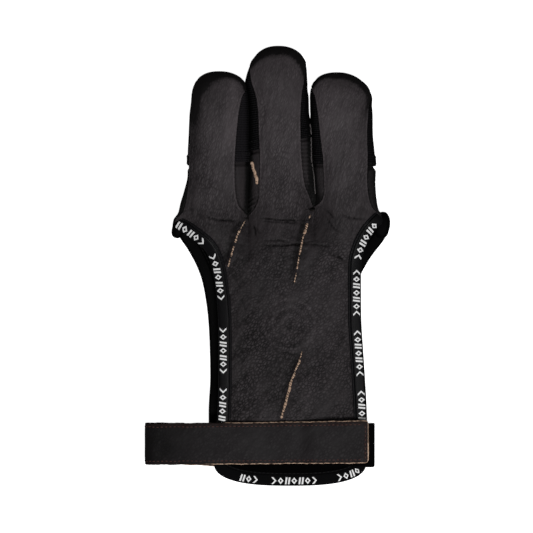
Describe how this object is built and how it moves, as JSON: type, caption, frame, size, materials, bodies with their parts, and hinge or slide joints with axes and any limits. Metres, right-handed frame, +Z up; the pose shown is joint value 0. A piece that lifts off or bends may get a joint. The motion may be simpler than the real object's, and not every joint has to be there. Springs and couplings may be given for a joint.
{
  "type": "archery glove",
  "caption": "Archery shooting glove with leather finger stalls, ribbed elastic inserts, a taped open hand and a stitched leather wrist strap, lying flat.",
  "frame": {"origin": "centre of the bounding box on the surface that the glove lies on", "axes": "+Y along the fingers toward the tips, +X from the ring finger to the index finger, +Z up out of the leather face"},
  "size_m": [0.1134, 0.204, 0.016],
  "materials": {
    "front_leather": "pebbled satin",
    "side_leather": "satin",
    "strap_leather": "satin",
    "elastic": "ribbed matte",
    "panel_fabric": "matte",
    "binding_tape": "woven satin",
    "loop_tape": "matte"
  },
  "bodies": {
    "root": {"front_leather": "front_leather", "ring_elastic": "elastic", "middle_elastic": "elastic", "index_elastic": "elastic", "ring_back_leather": "side_leather", "middle_back_leather": "side_leather", "index_back_leather": "side_leather", "wrist_panel": "panel_fabric", "back_panel": "panel_fabric", "front_binding": "binding_tape", "back_binding": "binding_tape", "strap": "strap_leather", "closure_tab": "loop_tape"}
  },
  "joints": []
}
